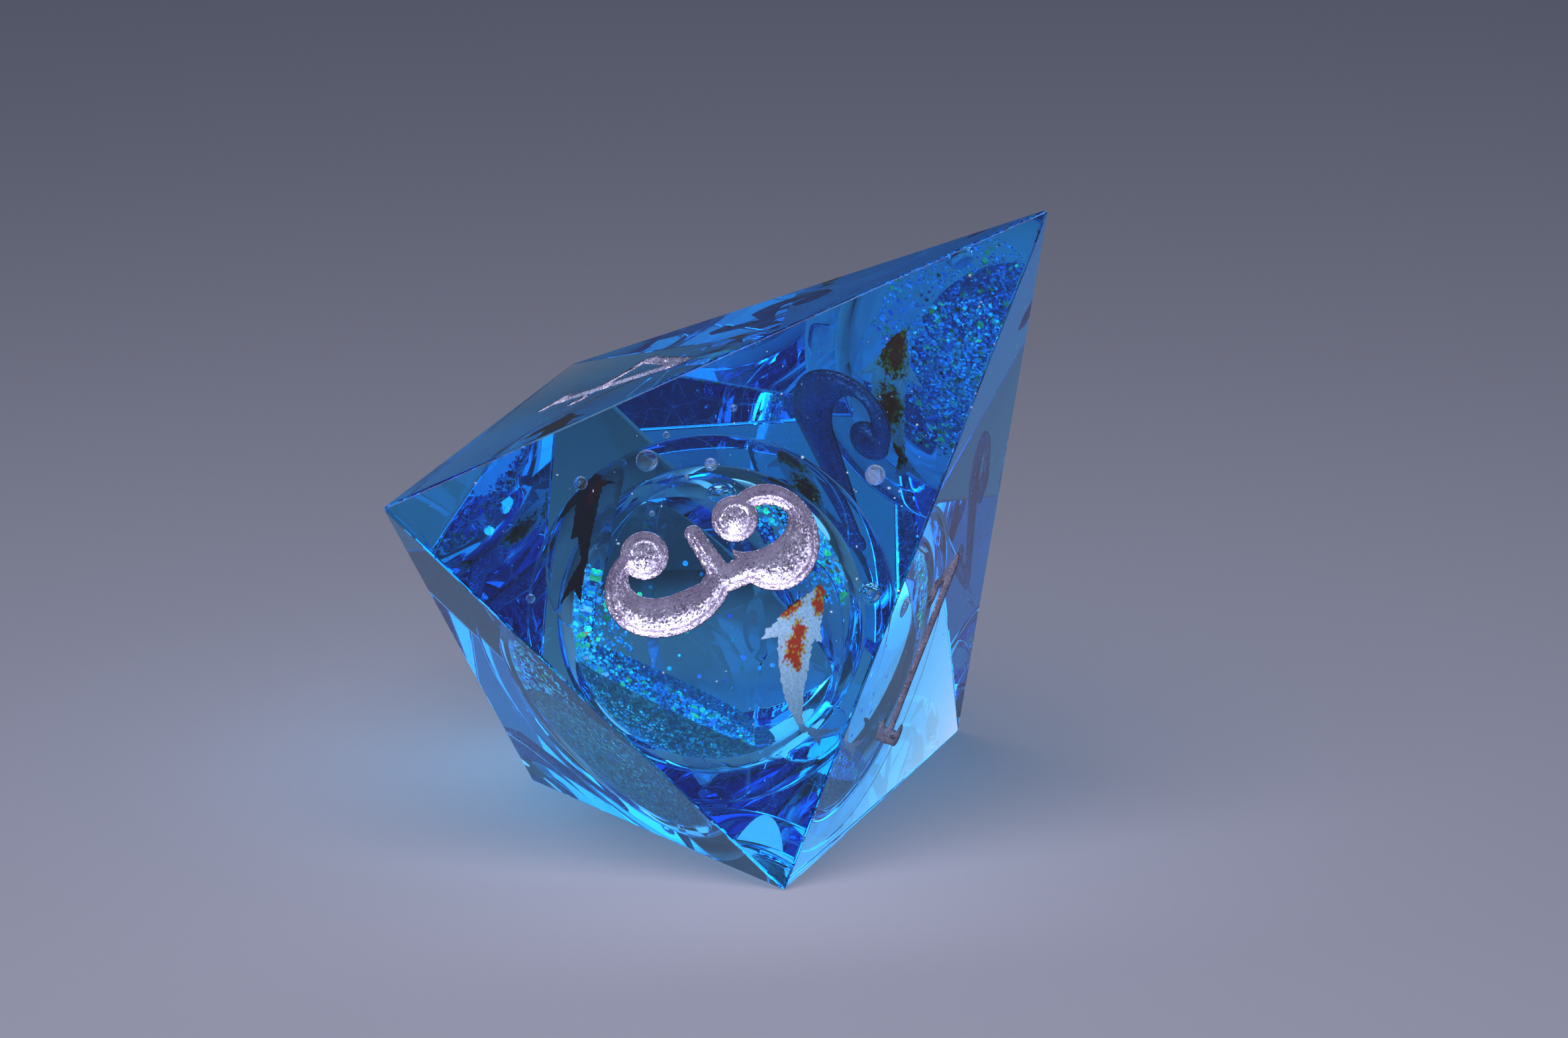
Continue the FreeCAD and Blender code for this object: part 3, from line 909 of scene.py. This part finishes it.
def near_directions(axis, spread, count, power=0.5):
    """Random directions around an axis; a larger power crowds them towards it."""
    plane = Plane((0, 0, 0), axis, (0.31, 0.77, 0.55))
    polar = spread * rng.random(count) ** power
    turn = rng.uniform(0.0, 2.0 * math.pi, count)
    flat = np.stack([np.cos(turn), np.sin(turn)], axis=1) * np.sin(polar)[:, None]
    return plane.raised(flat, np.cos(polar))


# A share of the flakes lies so that it mirrors the small lamp over the globe out through the front face.
INNER_KEY = unit((0.33, -0.55, 0.77))
INNER_LAMP_DISTANCE = 14.0
OUT_THE_FRONT = unit((0.35, -0.82, 0.43))
GLINT_LEAN = 0.12
FLAKE_GAP = 0.02


def glint_facing(places):
    """The way that a flake in each place faces when it catches the small lamp."""
    to_lamp = GLOBE + INNER_KEY * INNER_LAMP_DISTANCE - places
    facing = to_lamp / np.linalg.norm(to_lamp, axis=1, keepdims=True) + OUT_THE_FRONT
    return facing / np.linalg.norm(facing, axis=1, keepdims=True)


def flake_piece(name, groups, tints, across, body, slot_name, finish, nodes, thickness=0.12, glinting=0.7):
    """One piece of many flakes: groups of directions with their distance and lean. A share of them glints."""
    directions = np.concatenate([group[0] for group in groups])
    distance = np.concatenate([group[1] for group in groups])
    lean = np.concatenate([np.full(len(group[0]), group[2]) for group in groups])
    sizes = rng.uniform(across[0], across[1], len(directions))
    glints = rng.random(len(directions)) < glinting
    template = hexagon(thickness)
    places = GLOBE + directions * distance[:, None]
    facing = np.where(glints[:, None], glint_facing(places), directions)
    turns = turned_to(facing, np.where(glints, GLINT_LEAN, lean)[:, None])
    upright = np.abs((turns[:, :, 2] * directions).sum(axis=1)).clip(0.0, 1.0)
    reach = 0.5 * sizes * (np.sqrt(1.0 - upright ** 2) + thickness * upright)
    furthest = CHAMBER_RADIUS - LIQUID_GAP - FLAKE_GAP - reach
    places = GLOBE + directions * np.minimum(distance, furthest)[:, None]
    points, faces = scattered(template, places, turns, sizes)
    colours = tints[rng.integers(0, len(tints), len(directions))]
    colours = colours * rng.uniform(0.7, 1.2, (len(directions), 1))
    return finish_flakes(name, points, faces, colours, len(template[0]), body, slot_name, finish, nodes)


def finish_flakes(name, points, faces, colours, corners, body, slot_name, finish, nodes):
    """The mesh object of many flakes, each in one colour."""
    mesh = bpy.data.meshes.new(name)
    mesh.from_pydata((points * MM).tolist(), [], faces)
    mesh.materials.append(finish.material)
    layer = mesh.color_attributes.new("tint", "FLOAT_COLOR", "POINT")
    every = np.repeat(np.clip(colours, 0.0, 1.0), corners, axis=0)
    opaque = np.column_stack([every, np.ones(len(every))]).astype(np.float32)
    layer.data.foreach_set("color", opaque.ravel())
    made = bpy.data.objects.new(name, mesh)
    bpy.context.scene.collection.objects.link(made)
    return join_up(made, body, slot_name, *nodes)


def on_the_bed(count, spread=1.0):
    """Directions and distances of flakes on the bed's top and against the wall under it."""
    directions = near_directions(BED_AXIS, BED_SPREAD * spread, count, 0.55)
    thickness = bed_thickness(directions)
    outside = rng.random(count) < 0.5
    top = WALL - 0.03 - thickness
    return directions, np.where(outside, WALL + 0.005, top)


LEFT_WALL = unit((-0.80, -0.30, -0.30))
BACK_WALL = unit((0.60, 0.57, 0.53))


def on_the_wall(axis, spread, count, power=0.5):
    """Directions and distances of flakes on the chamber's wall around an axis."""
    directions = near_directions(axis, math.radians(spread), count, power)
    return directions, np.full(count, WALL - 0.02) - 0.05 * rng.random(count)


def teal_flakes():
    """Fine teal glitter on the bed, up the left wall and behind."""
    groups = [
        (*on_the_bed(5200), 0.35),
        (*on_the_bed(350, 1.15), 0.5),
        (*on_the_wall(LEFT_WALL, 44.0, 1500), 0.4),
        (*on_the_wall(BACK_WALL, 34.0, 1500, 0.8), 0.4),
    ]
    flake_piece("teal_flakes", groups, TEALS, (0.08, 0.15), "sediment", "teal_glitter", fine_foil, [],
                glinting=0.25)


GREENS = np.array([[0.05, 0.90, 0.25], [0.10, 0.95, 0.55], [0.35, 0.95, 0.20]])
REDS = np.array([[0.95, 0.15, 0.05], [0.95, 0.30, 0.35]])
VIOLETS = np.array([[0.35, 0.25, 0.95], [0.70, 0.70, 1.0], [0.20, 0.45, 1.0]])
BLACKS = np.array([[0.01, 0.01, 0.02]])
# Each kind's CAD node, count, colours, least and greatest width, slot, finish, and thickness for its width.
LYING_FLAKES = [
    ("flakes_green", 340, GREENS, (0.16, 0.30), "green_flakes", foil, 0.07),
    ("flakes_red", 90, REDS, (0.16, 0.28), "red_flakes", foil, 0.07),
    ("flakes_violet", 110, VIOLETS, (0.16, 0.28), "violet_flakes", foil, 0.07),
    ("flakes_black", 120, BLACKS, (0.05, 0.12), "black_specks", specks, 0.3),
]


def sparkling(count):
    """The larger flakes' directions, distances and leans: most on the bed, a fifth on each wall."""
    bed_count, wall_count = int(count * 0.6), int(count * 0.2)
    return [
        (*on_the_bed(bed_count), 0.5),
        (*on_the_wall(LEFT_WALL, 45.0, wall_count), 0.6),
        (*on_the_wall(BACK_WALL, 34.0, wall_count), 0.5),
    ]


def drifting(count):
    """Directions and distances of flakes that hang in the liquid."""
    directions = near_directions((-0.6, -0.2, -0.75), math.radians(100.0), count)
    return directions, CHAMBER_RADIUS * rng.uniform(0.35, 0.9, count)


# ---- make everything ----

resin_body()
for number in NUMBER_SIDES:
    paint(number)
half_globe("globe_half_right", 1.0)
half_globe("globe_half_left", -1.0)
fill_plug()
core_liquid()
air_bubble()
for fish_name, (fish_heading, fish_slot) in FISH.items():
    film_piece(fish_name, fish_heading)
    print_piece(fish_name, fish_heading, fish_slot)
bed = glitter_bed()
join_up(bed, "sediment", "teal_glitter", "glitter_bed")
teal_flakes()
for name, count, tints, across, slot_name, finish, thickness in LYING_FLAKES:
    flake_piece(name, sparkling(count), tints, across, "sediment", slot_name, finish, [name], thickness)
flake_piece("drift_flakes", [(*drifting(36), 3.0)], np.concatenate([TEALS, GREENS, VIOLETS]), (0.10, 0.24),
            "liquid", "teal_glitter", foil, ["drift_flakes"], 0.07)


# ---- the stage ----

LAMP_COLOUR = (0.80, 0.80, 1.0)
GATHERED_COLOUR = (0.26, 0.60, 1.0)
LAMP_AIM = Vector((0.0, 0.0, 8.0))
FLOOR_REACH = 3000.0
FLOOR_PARTS = 40
FLOOR_DROP = 0.01


def floor():
    """A wide pale floor."""
    share = np.linspace(-1, 1, FLOOR_PARTS + 1)
    ramp = np.sign(share) * np.abs(share) ** 2 * FLOOR_REACH
    grid = np.stack(np.meshgrid(ramp, ramp), axis=-1).reshape(-1, 2)
    points = np.column_stack([grid, np.full(len(grid), -FLOOR_DROP)])
    wide = FLOOR_PARTS + 1
    faces = [[j * wide + i, j * wide + i + 1, (j + 1) * wide + i + 1, (j + 1) * wide + i]
             for j in range(FLOOR_PARTS) for i in range(FLOOR_PARTS)]
    finish = Finish("floor", Roughness=0.75)
    finish.set("Base Color", finish.blend(finish.grain(0.02, 2.0), (0.54, 0.53, 0.56), (0.58, 0.57, 0.60)))
    finish.bumps(finish.grain(2.0, 4.0), 0.15, 0.00005)
    made = mesh_piece("floor", points, faces, [finish.material], False)
    made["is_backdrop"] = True


def lamp(name, direction, distance, size, radiance, colour=LAMP_COLOUR, lit=None):
    """A soft round lamp aimed at the die, as bright to look at as its radiance says. It can be kept to the
    pieces in one collection."""
    data = bpy.data.lights.new(name, "AREA")
    data.shape = "DISK"
    data.size = size * MM
    data.energy = radiance * math.pi * math.pi * (size * MM / 2.0) ** 2
    data.color = colour
    made = bpy.data.objects.new(name, data)
    bpy.context.scene.collection.objects.link(made)
    made.location = (LAMP_AIM + Vector(unit(direction)) * distance) * MM
    made.rotation_euler = Vector(-unit(direction)).to_track_quat("-Z", "Y").to_euler()
    if lit:
        made.light_linking.receiver_collection = lit
    made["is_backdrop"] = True
    return made


def inner_lamp(name, direction, size, radiance, colour, lit, mirrored):
    """A lamp just outside the globe that lights what is inside, and nothing but the floor stands in its way.
    It may or may not be seen mirrored in the flakes."""
    made = lamp(name, direction, INNER_LAMP_DISTANCE, size, radiance, colour, lit)
    made.location = (GLOBE + unit(direction) * INNER_LAMP_DISTANCE) * MM
    made.light_linking.blocker_collection = floor_only
    made.visible_camera = False
    made.visible_glossy = mirrored


def pool(name, place, energy):
    """Light that the die gathers from the lamps and throws on the floor round its foot."""
    data = bpy.data.lights.new(name, "POINT")
    data.shadow_soft_size = 2.0 * MM
    data.energy = energy
    data.color = GATHERED_COLOUR
    made = bpy.data.objects.new(name, data)
    bpy.context.scene.collection.objects.link(made)
    made.location = Vector(place) * MM
    made.visible_camera = made.visible_glossy = made.visible_transmission = False
    made.light_linking.receiver_collection = floor_only
    made.light_linking.blocker_collection = floor_only
    made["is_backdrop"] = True


def collection_of(name, members):
    """A collection that only lamps use, to know what they light."""
    made = bpy.data.collections.new(name)
    for member in members:
        made.objects.link(member)
    return made


floor()
die_only = collection_of("die_only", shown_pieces())
floor_only = collection_of("floor_only", [bpy.data.objects["floor"]])
inside_only = collection_of("inside_only", [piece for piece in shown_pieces()
                                            if "flakes" in piece.name or piece.name == "glitter_bed"])
prints_only = collection_of("prints_only", [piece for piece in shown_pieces() if piece.name.endswith("_print")])

lamp("top", (0.05, -0.42, 0.90), 115.0, 115.0, 3.0)
for name, direction, distance, size, radiance, colour in (
    ("left_back", (-0.82, 0.40, 0.41), 130.0, 80.0, 1.1, (0.55, 0.70, 1.0)),
    ("front", (0.22, -0.91, 0.36), 420.0, 200.0, 0.35, LAMP_COLOUR),
    ("right_back", (0.25, 0.90, 0.34), 150.0, 80.0, 1.2, (0.65, 0.75, 1.0)),
    ("key", (0.30, -0.30, 0.90), 170.0, 120.0, 3.2, LAMP_COLOUR),
    ("key_left", (-0.60, -0.70, 0.45), 170.0, 120.0, 1.4, LAMP_COLOUR),
    ("key_right", (0.80, -0.52, 0.35), 170.0, 110.0, 0.8, LAMP_COLOUR),
    ("key_back", (-0.20, 0.55, 0.80), 170.0, 120.0, 1.6, LAMP_COLOUR),
):
    lamp(name, direction, distance, size, radiance, colour, die_only)
# What gets inside through the clear body is more than a lamp outside can be followed to.
inner_lamp("inner_key", INNER_KEY, 4.5, 65.0, (0.75, 0.85, 1.0), inside_only, True)
inner_lamp("inner_low", (-0.30, -0.95, -0.10), 9.0, 12.0, (0.70, 0.88, 1.0), inside_only, False)
inner_lamp("print_key", (0.45, -0.80, 0.45), 9.0, 1.8, (0.95, 0.85, 1.0), prints_only, False)
pool("pool_left", (-8.5, 2.0, 6.0), 0.0009)
pool("pool_under", (-3.0, 1.5, 6.0), 0.0009)

world = bpy.data.worlds.new("studio")
bpy.context.scene.world = world
world.use_nodes = True
world.node_tree.nodes["Background"].inputs["Color"].default_value = (0.50, 0.66, 1.0, 1.0)
world.node_tree.nodes["Background"].inputs["Strength"].default_value = 0.10

# The camera looks a little down on the front face, from 22 girdle sides away.
VIEW_AZIMUTH = math.radians(19.37)
VIEW_ELEVATION = math.radians(16.25)
VIEW_ROLL = math.radians(-1.28)
VIEW_DISTANCE = 385.0
VIEW_SHIFT = (0.588, 0.430)
VIEW_HEIGHT = 9.0

forward = np.array([-math.sin(VIEW_AZIMUTH) * math.cos(VIEW_ELEVATION),
                    math.cos(VIEW_AZIMUTH) * math.cos(VIEW_ELEVATION), -math.sin(VIEW_ELEVATION)])
level = np.array([math.cos(VIEW_AZIMUTH), math.sin(VIEW_AZIMUTH), 0.0])
upward = np.cross(level, forward)
right = math.cos(VIEW_ROLL) * level + math.sin(VIEW_ROLL) * upward
above = -math.sin(VIEW_ROLL) * level + math.cos(VIEW_ROLL) * upward
aim = np.array([0.0, 0.0, VIEW_HEIGHT]) + VIEW_SHIFT[0] * right + VIEW_SHIFT[1] * above
place = (aim - forward * VIEW_DISTANCE) * MM

lens = bpy.data.cameras.new("camera")
lens.lens = 276.5
lens.sensor_width = 36.0
lens.clip_start = 0.01
camera = bpy.data.objects.new("camera", lens)
bpy.context.scene.collection.objects.link(camera)
axes = [right, above, -forward]
rows = [[*(axis[row] for axis in axes), place[row]] for row in range(3)]
camera.matrix_world = Matrix([*rows, (0.0, 0.0, 0.0, 1.0)])
bpy.context.scene.camera = camera

bpy.context.scene.view_settings.view_transform = "Standard"
cycles = bpy.context.scene.cycles
cycles.max_bounces = 40
cycles.transmission_bounces = 40
cycles.glossy_bounces = 20
cycles.transparent_max_bounces = 16
